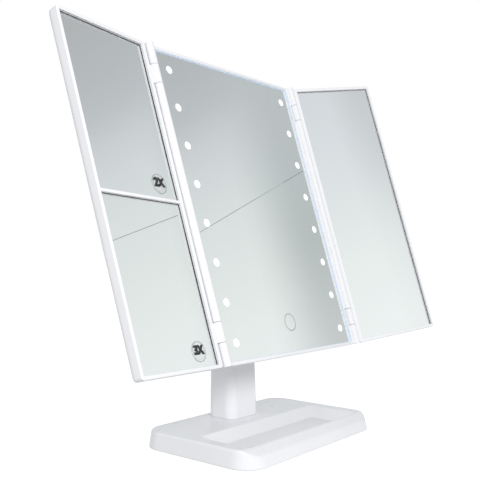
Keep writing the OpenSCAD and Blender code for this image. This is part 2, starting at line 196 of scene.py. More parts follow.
def fillet(r_in, r_up, top, steps=6):
    """Levels of (inset, height) that round an edge over into a face at height top."""
    levels = []
    for i in range(steps + 1):
        a = math.pi / 2 * i / steps
        levels.append((r_in * (1 - math.cos(a)), top - r_up * (1 - math.sin(a))))
    return levels


def both_ways(levels):
    """Levels of (inset, height) mirrored to the other side of height 0."""
    return [(i, -h) for i, h in reversed(levels)] + levels


def plate(x0, x1, z0, z1, r, y0, y1, front=0.3, rear=0.3, corner=8):
    """A slab standing in the x-z plane with round corners and rounded front and rear edges."""

    def outline(inset):
        return rounded_rect(x0 + inset, x1 - inset, z0 + inset, z1 - inset, max(r - inset, 0.05), corner)

    start = [(i, y0 + y1 - h) for i, h in reversed(fillet(front, front, y1))]
    return slab(outline, start + fillet(rear, rear, y1))


def turned(axis, centre, profile, segments=48, wrap=False):
    """A solid or ring turned round a local axis, through a profile of (radius, place along the axis)."""
    u, v = [k for k in (0, 1, 2) if k != axis]
    rings = []
    for radius, along in profile:
        ring = []
        for i in range(segments):
            a = 2 * math.pi * i / segments
            p = [0.0, 0.0, 0.0]
            p[u] = centre[u] + radius * math.cos(a)
            p[v] = centre[v] + radius * math.sin(a)
            p[axis] = along
            ring.append(p)
        rings.append(ring)
    return loft(rings, wrap)


def rod(axis, centre, r, a0, a1, soft=0.0):
    """A cylinder along a local axis, its ends rounded by soft."""
    if not soft:
        return turned(axis, centre, [(r, a0), (r, a1)])
    end = fillet(soft, soft, a1, 3)
    start = [(i, a0 + a1 - h) for i, h in reversed(end)]
    return turned(axis, centre, [(r - i, h) for i, h in start + end])


def tool(*solids):
    """One object from several separate solids, to cut or join with."""
    return add_object("tool", merged(solids))


def block(x0, x1, y0, y1, z0, z1):
    return loft([[(x, y, z) for x, z in ((x0, z0), (x1, z0), (x1, z1), (x0, z1))] for y in (y0, y1)])


def place(obj, matrix, materials, sharp=32):
    """Moves a finished local mesh to its place and sets its materials and shading."""
    obj.data.transform(matrix)
    if matrix.determinant() < 0:
        obj.data.flip_normals()
    obj.data.materials.clear()
    for m in materials:
        obj.data.materials.append(m)
    obj.data.shade_smooth()
    obj.data.set_sharp_from_angle(angle=math.radians(sharp))
    weighted = obj.modifiers.new("normals", "WEIGHTED_NORMAL")
    weighted.keep_sharp = True
    bake(obj)
    return obj


def stand_for(obj, body, slot, *nodes):
    """The piece rides on a body and stands for CAD nodes; its slot argument is not used."""
    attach(obj, body)
    if nodes:
        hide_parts(*nodes)
    return obj


# ---------- materials ----------


def srgb(r, g, b):
    """A linear colour from display values of 0 to 255."""
    def channel(c):
        c = c / 255
        return c / 12.92 if c <= 0.04045 else ((c + 0.055) / 1.055) ** 2.4
    return (channel(r), channel(g), channel(b), 1.0)


WHITE = (1, 1, 1, 1)
NOISE_LOW, NOISE_HIGH = 0.3, 0.7    # nearly all of a noise texture lies between these


class Nodes:
    """Helpers that add nodes to a tree."""

    def __init__(self, tree):
        self.tree = tree

    def node(self, kind, **settings):
        made = self.tree.nodes.new(kind)
        for key, value in settings.items():
            setattr(made, key, value)
        return made

    def link(self, source, target):
        self.tree.links.new(source, target)

    def axes(self, source):
        """The X, Y and Z of a vector."""
        made = self.node("ShaderNodeSeparateXYZ")
        self.link(source, made.inputs["Vector"])
        return made.outputs

    def ramp(self, source, stops):
        """A colour ramp with stops of (position, colour)."""
        made = self.node("ShaderNodeValToRGB")
        elements = made.color_ramp.elements
        while len(elements) < len(stops):
            elements.new(0.5)
        for element, (position, colour) in zip(elements, stops):
            element.position = position
            element.color = colour
        self.link(source, made.inputs["Fac"])
        return made.outputs["Color"]

    def mapped(self, source, low, high, to_low=0.0, to_high=1.0):
        """A value moved from one range to another and kept inside it."""
        made = self.node("ShaderNodeMapRange")
        for key, value in (("From Min", low), ("From Max", high), ("To Min", to_low), ("To Max", to_high)):
            made.inputs[key].default_value = value
        self.link(source, made.inputs["Value"])
        return made.outputs["Result"]


class Shader(Nodes):
    """A node material with a Principled shader and helpers for its inputs."""

    def __init__(self, name):
        self.material = bpy.data.materials.new(name)
        self.material.use_nodes = True
        super().__init__(self.material.node_tree)
        self.principled = self.tree.nodes["Principled BSDF"]
        self.place = self.node("ShaderNodeTexCoord").outputs["Object"]

    def set(self, **inputs):
        for key, value in inputs.items():
            self.principled.inputs[key.replace("_", " ")].default_value = value
        return self

    def noise(self, scale, detail=3.0, stretch=(1, 1, 1)):
        mapping = self.node("ShaderNodeMapping")
        mapping.inputs["Scale"].default_value = stretch
        self.link(self.place, mapping.inputs["Vector"])
        texture = self.node("ShaderNodeTexNoise")
        texture.inputs["Scale"].default_value = scale
        texture.inputs["Detail"].default_value = detail
        self.link(mapping.outputs["Vector"], texture.inputs["Vector"])
        return texture.outputs["Fac"]

    def spread(self, source, low, high):
        """Maps noise around its middle to a range of values."""
        return self.mapped(source, NOISE_LOW, NOISE_HIGH, low, high)

    def bump(self, height, distance, strength=1.0, below=None):
        made = self.node("ShaderNodeBump")
        made.inputs["Distance"].default_value = distance
        made.inputs["Strength"].default_value = strength
        self.link(height, made.inputs["Height"])
        if below is not None:
            self.link(below, made.inputs["Normal"])
        self.link(made.outputs["Normal"], self.principled.inputs["Normal"])
        return made.outputs["Normal"]

    def colour(self, source):
        self.link(source, self.principled.inputs["Base Color"])

    def roughness(self, source):
        self.link(source, self.principled.inputs["Roughness"])

    def glow(self, colour, strength):
        """Light of its own, too weak to be worth sampling as a lamp."""
        self.material.cycles.emission_sampling = "NONE"
        return self.set(Emission_Color=colour, Emission_Strength=strength)


def mottled(name, tones, gloss, grain=None, **settings):
    """A material from noise, for a surface that isn't quite even.

    tones: (scale, detail, darker, lighter display colour). gloss: (scale, detail, lowest, highest roughness).
    grain: (scale, detail, depth in metres) of its bump.
    """
    s = Shader(name)
    scale, detail, dark, light = tones
    s.colour(s.ramp(s.noise(scale, detail), [(NOISE_LOW, srgb(*dark)), (NOISE_HIGH, srgb(*light))]))
    scale, detail, low, high = gloss
    s.roughness(s.spread(s.noise(scale, detail), low, high))
    if grain:
        scale, detail, depth = grain
        s.bump(s.noise(scale, detail), depth)
    return s.set(**settings)


def white_plastic():
    """Glossy moulded plastic: a faint ripple, fine flow marks and a clear skin."""
    s = mottled("white_plastic", (9, 4, (238, 238, 241), (243, 243, 245)), (60, 5, 0.27, 0.31),
                IOR=1.49, Coat_Weight=0.18, Coat_Roughness=0.12)
    ripple = s.bump(s.noise(22, 2), 0.00001)
    s.bump(s.noise(240, 2), 0.0000005, 0.5, ripple)
    return s.material


def satin_plastic():
    """The back's moulded plastic, with a fine spark-eroded grain."""
    s = mottled("satin_plastic", (12, 4, (233, 233, 236), (240, 240, 242)), (180, 4, 0.42, 0.56), IOR=1.49)
    ripple = s.bump(s.noise(28, 2), 0.00005)
    s.bump(s.noise(1500, 3), 0.00003, 0.8, ripple)
    return s.material


def mirror_silver():
    """The silver coat behind the glass: nearly perfect, with a faint cloudiness."""
    s = Shader("mirror_silver")
    s.colour(s.ramp(s.noise(6, 2), [(0.35, (0.961, 0.977, 0.972, 1)), (0.65, (0.977, 0.994, 0.988, 1))]))
    s.roughness(s.spread(s.noise(14, 6, (1, 1, 0.35)), 0.0, 0.012))
    s.set(Metallic=1.0)
    return s.material


def clear_glass():
    """Clear float glass, with a trace of wiping haze on its face."""
    s = Shader("clear_glass")
    s.colour(s.ramp(s.noise(5, 2), [(NOISE_LOW, (0.99, 1.0, 0.995, 1)), (NOISE_HIGH, WHITE)]))
    s.roughness(s.spread(s.noise(16, 6, (1, 1, 0.3)), 0.0, 0.006))
    s.set(IOR=1.52, Transmission_Weight=1.0)
    return s.material


def rubber():
    """Soft grey rubber with a pebbled grip pattern."""
    s = mottled("rubber_mat", (80, 5, (52, 52, 54), (70, 70, 72)), (300, 3, 0.75, 0.9))
    cells = s.node("ShaderNodeTexVoronoi", feature="DISTANCE_TO_EDGE")
    cells.inputs["Scale"].default_value = 420
    s.link(s.place, cells.inputs["Vector"])
    s.bump(cells.outputs["Distance"], 0.0003)
    return s.material


def plated_steel():
    """Zinc-plated steel with fine turning lines and a mottled tone."""
    s = Shader("plated_steel")
    tones = [(NOISE_LOW, srgb(176, 178, 182)), (NOISE_HIGH, srgb(206, 207, 210))]
    s.colour(s.ramp(s.noise(140, 5), tones))
    s.roughness(s.spread(s.noise(500, 4, (1, 0.1, 1)), 0.2, 0.42))
    s.bump(s.noise(1800, 2, (1, 0.08, 1)), 0.00002)
    s.set(Metallic=1.0)
    return s.material


def foam():
    """Closed-cell foam tape: small open bubbles on a grey ground."""
    s = Shader("foam_tape")
    cells = s.node("ShaderNodeTexVoronoi")
    cells.inputs["Scale"].default_value = 1300
    s.link(s.place, cells.inputs["Vector"])
    distance = cells.outputs["Distance"]
    s.colour(s.ramp(distance, [(0.1, srgb(84, 84, 86)), (0.6, srgb(128, 128, 130))]))
    s.bump(distance, 0.0002)
    s.set(Roughness=0.92)
    return s.material


def circuit_board():
    """Green solder mask over straight copper tracks."""
    s = Shader("circuit_board")
    tracks = s.node("ShaderNodeTexBrick")
    tracks.inputs["Scale"].default_value = 240
    tracks.inputs["Mortar Size"].default_value = 0.06
    tracks.inputs["Color1"].default_value = srgb(22, 92, 52)
    tracks.inputs["Color2"].default_value = srgb(26, 102, 58)
    tracks.inputs["Mortar"].default_value = srgb(52, 134, 76)
    upright = s.node("ShaderNodeMapping")
    upright.inputs["Rotation"].default_value = (math.pi / 2, 0, 0)
    s.link(s.place, upright.inputs["Vector"])
    s.link(upright.outputs["Vector"], tracks.inputs["Vector"])
    s.colour(tracks.outputs["Color"])
    s.bump(tracks.outputs["Fac"], 0.00004)
    s.roughness(s.spread(s.noise(300), 0.28, 0.4))
    return s.material


def cell_jacket():
    """A plain printed battery sleeve: dark, with one copper-coloured band round the top."""
    s = Shader("cell_jacket")
    low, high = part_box("battery_cells")
    share = s.mapped(s.axes(s.place)["Z"], low.z, high.z)
    band = [(0.0, srgb(36, 37, 40)), (0.7, srgb(40, 41, 44)),
            (0.72, srgb(190, 128, 74)), (1.0, srgb(202, 140, 84))]
    s.colour(s.ramp(share, band))
    s.roughness(s.spread(s.noise(260, 4), 0.22, 0.34))
    s.bump(s.noise(700, 3), 0.00002)
    s.set(Metallic=0.4)
    return s.material


PLASTIC = white_plastic()
SATIN = satin_plastic()
SILVER = mirror_silver()
CLEAR = clear_glass()
# Grey protective paint behind the silver coat, and the dark unsilvered edge of a wing's pane. The dark band this
# edge makes round the glass is partly a painted shadow line, standing for the shade in the gap under the frame's
# lip.
PAINT = mottled("backing_paint", (90, 4, (116, 120, 122), (134, 138, 140)), (240, 3, 0.5, 0.7),
                (900, 3, 0.00002)).material
DARK_EDGE_AND_SHADE = mottled("glass_edge_and_painted_shade", (220, 3, (34, 38, 38), (60, 66, 66)), (120, 3, 0.12, 0.25),
                 IOR=1.52).material
# The centre pane's edge band: a painted reflection, pale blue and glowing, that stands in for the frame's lip wall
# seen in the glass.
CENTRE_EDGE_PAINTED_REFLECTION = mottled("centre_edge_painted_reflection", (160, 3, (150, 166, 186), (170, 186, 206)), (120, 3, 0.1, 0.2),
                        IOR=1.52).glow(srgb(196, 212, 232), 0.85).material
# The clear spot over an LED: milky plastic behind glass, evenly lit.
SPOT = mottled("light_window", (900, 2, (247, 247, 247), (253, 253, 253)), (200, 3, 0.06, 0.12),
               IOR=1.52).glow(WHITE, 0.9).material
# The grey line of the touch switch and of the stickers, their clear film and their ink.
RING = mottled("printed_ring", (700, 2, (96, 104, 108), (122, 130, 134)), (300, 3, 0.25, 0.4)).material
FILM = mottled("clear_film", (260, 4, (226, 232, 231), (240, 244, 243)), (90, 4, 0.12, 0.3),
               IOR=1.46, Alpha=0.05).material
INK = mottled("black_ink", (900, 3, (14, 14, 15), (32, 32, 34)), (500, 3, 0.35, 0.5)).material
NYLON = mottled("black_nylon", (200, 4, (22, 22, 23), (36, 36, 38)), (400, 3, 0.5, 0.65),
                (1400, 3, 0.00003)).material
MILKY = mottled("milky_plastic", (120, 3, (236, 236, 232), (248, 248, 246)), (240, 3, 0.35, 0.5),
                Subsurface_Weight=0.4, Subsurface_Scale=0.003, Transmission_Weight=0.15).material
# An LED's yellow phosphor window.
LED = mottled("led_chip", (700, 3, (236, 214, 120), (250, 240, 190)),
              (500, 3, 0.2, 0.35)).glow((1.0, 0.96, 0.86, 1), 0.4).material
COPPER = mottled("copper_foil", (300, 5, (178, 104, 66), (222, 150, 108)), (900, 3, 0.25, 0.45),
                 (1500, 3, 0.00002), Metallic=1.0).material
WIRE = mottled("wire_jacket", (300, 3, (160, 26, 24), (186, 40, 34)), (400, 3, 0.35, 0.5),
               (900, 2, 0.00003)).material

SLOT_MATERIALS = {
    "white_plastic": SATIN,
    "mirror_glass": SILVER,
    "rubber_mat": rubber(),
    "steel": plated_steel(),
    "black_nylon": NYLON,
    "foam_tape": foam(),
    "milky_plastic": MILKY,
    "circuit_board": circuit_board(),
    "led_chip": LED,
    "copper": COPPER,
    "wire_jacket": WIRE,
    "cell_jacket": cell_jacket(),
    "clear_label": FILM,
}

for subpart in frame["record"]["subparts"]:
    for held in frame["nodes"][subpart["node"]].material_slots:
        held.material = SLOT_MATERIALS[subpart["material_slot"]]


# ---------- base and post ----------

BASE_LOW, BASE_HIGH = [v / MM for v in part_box("base_shell")]
BASE_CORNER = 19
RIM_FILLET = (2.4, 2.2)     # inwards, upwards
SIDE_DRAFT = 1.7
RIDGE_Y = -43.3             # the top slopes down from here to the front
RIDGE_SOFT = 2.2
FRONT_SLOPE = 0.633
TRAY_MOUTH = (-77, 77, -43.9, 4.0)
TRAY_RUN = (14, 6, 9.6)     # how far the side, front and back walls slope inwards
TRAY_CORNER = 4
TRAY_FLOOR = 6.5
WALL = 2.2
BASE_STEPS = {"corner": 12, "side": 10}


def top_height(y):
    """Height of the base's top at depth y: flat, then a soft ridge and the front slope."""
    down = RIDGE_Y - y
    if down < -RIDGE_SOFT:
        run = 0.0
    elif down > RIDGE_SOFT:
        run = down
    else:
        run = (down + RIDGE_SOFT) ** 2 / (4 * RIDGE_SOFT)
    return BASE_HIGH.z - FRONT_SLOPE * run


def base_outline(inset):
    return rounded_rect(BASE_LOW.x + inset, BASE_HIGH.x - inset, BASE_LOW.y + inset, BASE_HIGH.y - inset,
                        max(BASE_CORNER - inset, 2), **BASE_STEPS)


def tray_outline(t, grow=0.0):
    """The tray's outline on its sloping wall: t is 0 at the mouth and 1 at the floor."""
    x0, x1, y0, y1 = TRAY_MOUTH
    side, front, back = TRAY_RUN
    return rounded_rect(x0 + side * t - grow, x1 - side * t + grow, y0 + front * t - grow,
                        y1 - back * t + grow, TRAY_CORNER + grow, **BASE_STEPS)


def tray_height(t):
    """Height on the tray's wall, rounded over at the mouth and into the floor."""
    soft = 0.07

    def ease(d):
        return max(d, 0.0) if abs(d) > soft else (d + soft) ** 2 / (4 * soft)

    fall = ease(t) - ease(t - 1)
    return BASE_HIGH.z - (BASE_HIGH.z - TRAY_FLOOR) * fall


def tray_ring(t, drop=0.0, grow=0.0):
    points = tray_outline(t, grow)
    return [(x, y, min(top_height(y), tray_height(t)) - drop) for x, y in points]


def top_ring(inset, drop):
    return [(x, y, top_height(y) - drop) for x, y in base_outline(inset)]


def flat_ring(inset, z):
    return [(x, y, z) for x, y in base_outline(inset)]


def between(a, b, t, drop):
    """A ring part of the way from one ring to another, laid on the base's top."""
    ring = []
    for p, q in zip(a, b):
        x, y = p[0] + (q[0] - p[0]) * t, p[1] + (q[1] - p[1]) * t
        ring.append((x, y, top_height(y) - drop))
    return ring


def make_base():
    wall_steps = [1.12, 1.07, 1.04, 1.0, 0.96, 0.93, 0.6, 0.3, 0.07, 0.04, 0.0, -0.04, -0.08]
    tray = [tray_ring(t) for t in wall_steps]
    rim_in, rim_up = RIM_FILLET
    rim = [top_ring(SIDE_DRAFT + i, -h) for i, h in fillet(rim_in, rim_up, 0)]
    shelf = [between(tray[-1], rim[-1], t, 0) for t in (0.12, 0.35, 0.7, 0.9)]
    foot = BASE_LOW.z
    side = [flat_ring(inset, foot + up) for inset, up in ((0.9, 0), (0.35, 0.15), (0.08, 0.5), (0, 1))]
    inside = [flat_ring(2.9, foot), flat_ring(2.9, foot + 2), flat_ring(4.3, foot + 2), top_ring(6.2, WALL)]
    tray_back = [tray_ring(t, WALL, WALL) for t in (0.0, 1.0, 1.1)]
    under = [between(inside[-1], tray_back[0], t, WALL) for t in (0.4, 0.8)]
    rings = tray + shelf + rim[::-1] + side[::-1] + inside + under + tray_back
    return place(add_object("base_body", loft(rings)), WORLD, [PLASTIC], 38)


POST_LOW, POST_HIGH = [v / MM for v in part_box("post")]
POST_CORNER = 8
POST_LEAN = 6
POST_SHOULDER = 122
TONGUE_HALF = 9
TONGUE_R = 11.5
AXLE_BORE = 3.05


def post_ring(z, inset):
    lean = POST_LEAN * (z - POST_LOW.z) / (POST_SHOULDER - POST_LOW.z)
    outline = rounded_rect(POST_LOW.x + inset, POST_HIGH.x - inset, POST_LOW.y + lean + inset,
                           POST_HIGH.y - inset, POST_CORNER - inset, 10, 1)
    return [(x, y, z) for x, y in outline]


def tongue_outline(centre, r, y0, y1, low):
    """A round-topped tab round an axis along x, down to height low."""
    arc = []
    for i in range(33):
        a = math.pi * i / 32
        arc.append((centre[1] + r * math.cos(a), centre[2] + r * math.sin(a)))
    return [(y1, low)] + arc + [(y0, low)]


def make_post():
    foot = [post_ring(POST_LOW.z, 0.45), post_ring(POST_LOW.z + 0.2, 0.14), post_ring(POST_LOW.z + 0.5, 0)]
    sides = [post_ring(POST_LOW.z + (POST_SHOULDER - POST_LOW.z) * t, 0) for t in (0.25, 0.5, 0.75)]
    top = [post_ring(z, inset) for inset, z in fillet(2.4, 2.4, POST_SHOULDER, 7)]
    body = add_object("post_body", loft(foot + sides + top))
    pivot = Vector(joint("head_tilt")["pos_m"]) / MM
    rings = []
    for inset, x in both_ways(fillet(0.6, 0.6, TONGUE_HALF, 4)):
        outline = tongue_outline(pivot, TONGUE_R - inset, pivot.y - TONGUE_R + inset,
                                 pivot.y + TONGUE_R - inset, POST_SHOULDER - 6)
        rings.append([(x, y, z) for y, z in outline])
    join(body, tool(loft(rings)))
    cut(body, tool(rod(0, pivot, AXLE_BORE, -2 * TONGUE_HALF, 2 * TONGUE_HALF)))
    return place(body, WORLD, [PLASTIC])


stand_for(make_base(), "base", "white_plastic", "base_shell")
stand_for(make_post(), "base", "white_plastic", "post")


# ---------- mirror frames ----------

BARREL_R = 3.3
PIN_R = 1.05
LIP_GAP = 0.15              # the shadow gap between a frame's lip and its glass


def shrink(rect, dx, dz=None):
    dz = dx if dz is None else dz
    x0, x1, z0, z1 = rect
    return (x0 + dx, x1 - dx, z0 + dz, z1 - dz)


def frame_mesh(outer, window, pocket, y_front, y_glass, y_back, corner=2.5):
    """A mirror's frame: its section runs from the rear edge over the front to the glass's pocket."""

    def ring(rect, r, y):
        return [(x, y, z) for x, z in rounded_rect(*rect, max(r, 0.06), 8)]

    soft = 0.3
    rings = [ring(shrink(outer, i), corner - i, y) for i, y in reversed(fillet(1.0, 3.2, y_back - 1.0))]
    for inset, forward in fillet(0.8, 0.8, -y_front):
        rings.append(ring(shrink(outer, inset), corner - inset, -forward))
    for i in range(4):
        a = math.pi / 2 * i / 3
        out = soft * (1 - math.sin(a))
        rings.append(ring(shrink(window, -out), 0.4 + out, y_front + soft * (1 - math.cos(a))))
    rings.append(ring(window, 0.4, y_glass - LIP_GAP))
    rings.append(ring(pocket, 0.4, y_glass - LIP_GAP))
    rings.append(ring(pocket, 0.4, y_back - 1.0))
    return loft(rings, wrap=True)


GLASS_LOW, GLASS_HIGH = local_box("centre_glass", HEAD)
FRAME_LOW, FRAME_HIGH = local_box("centre_bezel", HEAD)
HINGE = HEAD.inverted() @ Vector(joint("right_wing_fold")["pos_m"])
LIP = 0.84                  # the frame's face stands this far in front of the glass
RIM = 1.0                   # the frame's wall beside the glass
HALF_H = FRAME_HIGH.z
PANEL_BACK = 8.16
END_BARREL = 17             # length of the centre's barrel at each end
KNUCKLE = 15                # and of the wing's knuckle next to it
KNUCKLE_GAP = 0.25
WEB_REAR = 1.9
WEB_SHORT = 0.3             # a web ends this far inside its barrel's ends
POCKET_GAP = 0.1            # round a glass in its pocket
CENTRE_LAP = 0.9            # how far the frame laps over the glass at the sides, and at top and bottom
WING_LAP = 1.0
LAP_Z = 1.1
WING_IN = 4.1               # the wing's frame starts this far from the hinge's axis
WING_FRONT = 0.5
WING_RECESS = 1.2           # the wings' glass lies this much deeper than the centre's
WING_GLASS = WING_FRONT + LIP + WING_RECESS
DIVIDER_Z = -1.5
DIVIDER_H = 2.2


def rect_of(low, high, grow=0.0):
    return (low.x - grow, high.x + grow, low.z - grow, high.z + grow)


def barrel(x, y, z0, z1):
    return rod(2, (x, y, 0), BARREL_R, z0, z1, 0.35)


def make_centre_frame():
    pocket = rect_of(GLASS_LOW, GLASS_HIGH, POCKET_GAP)
    window = shrink(pocket, CENTRE_LAP, LAP_Z)
    outer = (pocket[0] - RIM, pocket[1] + RIM, -HALF_H, HALF_H)
    shell = add_object("centre_frame", frame_mesh(outer, window, pocket, -LIP, 0, PANEL_BACK))
    middle = HALF_H - END_BARREL - KNUCKLE
    spans = [(-HALF_H, END_BARREL - HALF_H), (-middle, middle), (HALF_H - END_BARREL, HALF_H)]
    for side in (-1, 1):
        webs = []
        for z0, z1 in spans:
            near, far = sorted((side * (outer[1] - 0.5), side * HINGE.x))
            webs.append(block(near, far, -LIP + 0.04, WEB_REAR, z0 + WEB_SHORT, z1 - WEB_SHORT))
        join(shell, tool(*webs))
        join(shell, tool(*[barrel(side * HINGE.x, HINGE.y, z0, z1) for z0, z1 in spans]))
        holes = [rod(2, (side * HINGE.x, HINGE.y, 0), PIN_R, *sorted((s * (middle - 10), s * (HALF_H + 1))))
                 for s in (-1, 1)]
        cut(shell, tool(*holes))
    return place(shell, HEAD, [PLASTIC])


def make_wing_frame(name, matrix, node, cover, divided):
    frame_low, frame_high = local_box(node, matrix)
    cover_low, cover_high = local_box(cover, matrix)
    pocket = rect_of(cover_low, cover_high, POCKET_GAP)
    window = shrink(pocket, WING_LAP, LAP_Z)
    outer = (WING_IN, frame_high.x, -HALF_H, HALF_H)
    shell = add_object(name, frame_mesh(outer, window, pocket, WING_FRONT, WING_GLASS, frame_high.y))
    middle = HALF_H - END_BARREL - KNUCKLE
    low, high = middle + KNUCKLE_GAP, middle + KNUCKLE - KNUCKLE_GAP
    spans = [(-high, -low), (low, high)]
    join(shell, tool(*[block(0, WING_IN + 0.6, WING_FRONT + 0.04, BARREL_R - 0.1,
                             z0 + WEB_SHORT, z1 - WEB_SHORT) for z0, z1 in spans]))
    join(shell, tool(*[barrel(0, 0, z0, z1) for z0, z1 in spans]))
    cut(shell, tool(*[rod(2, (0, 0, 0), PIN_R, z0 - 5, z1 + 5) for z0, z1 in spans]))
    if divided:
        bar = plate(window[0] - 0.5, window[1] + 0.5, DIVIDER_Z - DIVIDER_H / 2, DIVIDER_Z + DIVIDER_H / 2,
                    0.1, WING_FRONT + 0.06, WING_GLASS - 0.02, 0.35, 0.02, 2)
        web = block(window[0] - 0.5, window[1] + 0.5, WING_GLASS - 0.1, cover_low.y - 0.1,
                    DIVIDER_Z - 0.5, DIVIDER_Z + 0.5)
        join(shell, tool(web))
        join(shell, tool(bar))
    return place(shell, matrix, [PLASTIC])


stand_for(make_centre_frame(), "head", "white_plastic", "centre_bezel")
stand_for(make_wing_frame("left_wing_frame", LEFT, "left_frame", "left_back", True),
          "left_wing", "white_plastic", "left_frame")
stand_for(make_wing_frame("right_wing_frame", RIGHT, "right_frame", "right_back", False),
          "right_wing", "white_plastic", "right_frame")


# ---------- glass ----------

SPOT_R = 3
SPOT_PITCH = 30
SPOT_X = 71.7
SPOT_COUNT = 8
TOUCH_R = 7
TOUCH_LINE = 0.42


def circle(bm, x, y, z, r, count=40):
    angles = [2 * math.pi * i / count for i in range(count)]
    return [bm.verts.new((x + r * math.cos(a), y, z + r * math.sin(a))) for a in angles]


def loop_edges(bm, verts):
    return [bm.edges.new((verts[i - 1], verts[i])) for i in range(len(verts))]


def corner_points(rect):
    x0, x1, z0, z1 = rect
    return ((x0, z0), (x1, z0), (x1, z1), (x0, z1))


def flat_pane(rect, y0, y1, border, spots, touch):
    """A flat pane silvered on its rear face, which has clear round spots and an etched ring."""
    bm = bmesh.new()
    front = [bm.verts.new((x, y0, z)) for x, z in corner_points(rect)]
    rear = [bm.verts.new((x, y1, z)) for x, z in corner_points(rect)]
    bm.faces.new(front)
    inner = [bm.verts.new((x, y1, z)) for x, z in corner_points(shrink(rect, border))]
    edges = loop_edges(bm, inner)
    for x, z in spots:
        rim = circle(bm, x, y1, z, SPOT_R)
        edges += loop_edges(bm, rim)
        bm.faces.new(rim).material_index = 3
    if touch:
        rim = circle(bm, touch[0], y1, touch[1], TOUCH_R)
        core = circle(bm, touch[0], y1, touch[1], TOUCH_R - TOUCH_LINE)
        edges += loop_edges(bm, rim)
        for i in range(len(rim)):
            bm.faces.new((rim[i - 1], rim[i], core[i], core[i - 1])).material_index = 4
        bm.faces.new(core).material_index = 2
    for face in bmesh.ops.triangle_fill(bm, use_beauty=True, edges=edges)["geom"]:
        if isinstance(face, bmesh.types.BMFace):
            face.material_index = 2
    for a, b in ((front, rear), (rear, inner)):
        for i in range(4):
            bm.faces.new((a[i - 1], a[i], b[i], b[i - 1])).material_index = 1
    bmesh.ops.recalc_face_normals(bm, faces=bm.faces)
    return bm


def hollow_depth(rect, y0, sag, x, z):
    """Depth of a slightly concave face, deepest by sag in its middle."""
    x0, x1, z0, z1 = rect
    across, along = x - (x0 + x1) / 2, z - (z0 + z1) / 2
    corner = ((x1 - x0) / 2) ** 2 + ((z1 - z0) / 2) ** 2
    return y0 + sag * (1 - (across ** 2 + along ** 2) / corner)


def grid_lines(low, high, border, count):
    """Grid lines from low to high, of which the outermost strips are the border."""
    inside = [low + border + (high - low - 2 * border) * i / count for i in range(count + 1)]
    return [low] + inside + [high]


def concave_pane(rect, y0, y1, border, sag, columns=20, rows=28):
    """A magnifying pane, ground to a shallow hollow and silvered on its rear face."""
    bm = bmesh.new()
    across, along = grid_lines(*rect[:2], border, columns), grid_lines(*rect[2:], border, rows)
    edges = []
    for y, index in ((y0, 0), (y1 - sag, 2)):
        grid = [[bm.verts.new((x, hollow_depth(rect, y, sag, x, z), z)) for x in across] for z in along]
        for j in range(rows + 2):
            for i in range(columns + 2):
                face = bm.faces.new((grid[j][i], grid[j][i + 1], grid[j + 1][i + 1], grid[j + 1][i]))
                outermost = i in (0, columns + 1) or j in (0, rows + 1)
                face.material_index = 1 if index and outermost else index
        right = [row[-1] for row in grid]
        left = [row[0] for row in grid]
        edges.append(grid[0][:-1] + right[:-1] + grid[-1][:0:-1] + left[:0:-1])
    front, rear = edges
    for i in range(len(front)):
        bm.faces.new((front[i - 1], front[i], rear[i], rear[i - 1])).material_index = 1
    bmesh.ops.recalc_face_normals(bm, faces=bm.faces)
    return bm


def make_glass(name, node, matrix, body, clear, edge, border, sag=0.0, spots=(), touch=None):
    """A mirror pane, clear to a depth and silvered there, and the painted backing behind it."""
    low, high = local_box(node, matrix)
    rect = rect_of(low, high)
    silver_y = low.y + clear
    if sag:
        bm = concave_pane(rect, low.y, silver_y, border, sag)
    else:
        bm = flat_pane(rect, low.y, silver_y, border, spots, touch)
    obj = add_object(name, bm)
    index = [face.material_index for face in obj.data.polygons]
    obj.data.transform(matrix)
    if matrix.determinant() < 0:
        obj.data.flip_normals()
    for m in (CLEAR, edge, SILVER, SPOT, RING):
        obj.data.materials.append(m)
    obj.data.polygons.foreach_set("material_index", index)
    obj.data.shade_smooth()
    obj.data.set_sharp_from_angle(angle=math.radians(20))
    stand_for(obj, body, "mirror_glass", node)
    backing = add_object(name + "_backing", plate(*rect, 0.3, silver_y + 0.02, high.y, 0.05, 0.15, 3))
    stand_for(place(backing, matrix, [PAINT]), body, "mirror_glass")
    return rect, low.y


SPOTS = [(side * SPOT_X, (i - (SPOT_COUNT - 1) / 2) * SPOT_PITCH)
         for side in (-1, 1) for i in range(SPOT_COUNT)]
pad_low, pad_high = local_box("touch_pad", HEAD)
TOUCH = (0.0, (pad_low.z + pad_high.z) / 2)
# On the centre pane the band between the silver and the edge shows the painted reflection.
BORDER_CENTRE = 1.3         # the silver coat stops this far inside a pane's edge
# On a wing's pane that band is dark: partly its unsilvered edge, partly a painted shadow line.
BORDER_WING = 0.85
CLEAR_LEFT = 0.9            # and lies this deep behind the glass's face
CLEAR_RIGHT = 0.5
CLEAR_CENTRE = 1.0
SAG_2X = 0.12
SAG_3X = 0.2

make_glass("centre_mirror", "centre_glass", HEAD, "head", CLEAR_CENTRE, CENTRE_EDGE_PAINTED_REFLECTION, BORDER_CENTRE,
           0, SPOTS, TOUCH)
UPPER = make_glass("upper_left_mirror", "glass_2x", LEFT, "left_wing", CLEAR_LEFT, DARK_EDGE_AND_SHADE, BORDER_WING,
                   SAG_2X)
LOWER = make_glass("lower_left_mirror", "glass_3x", LEFT, "left_wing", CLEAR_LEFT, DARK_EDGE_AND_SHADE, BORDER_WING,
                   SAG_3X)
make_glass("right_mirror", "right_glass", RIGHT, "right_wing", CLEAR_RIGHT, DARK_EDGE_AND_SHADE, BORDER_WING)


# ---------- magnification stickers ----------

LABEL_T = 0.12
MARK_SIZE = 8.6
MARK_BOLD = 0.38
MARK_T = 0.03
MARK_RISE = 0.9             # the mark sits a little above the sticker's middle


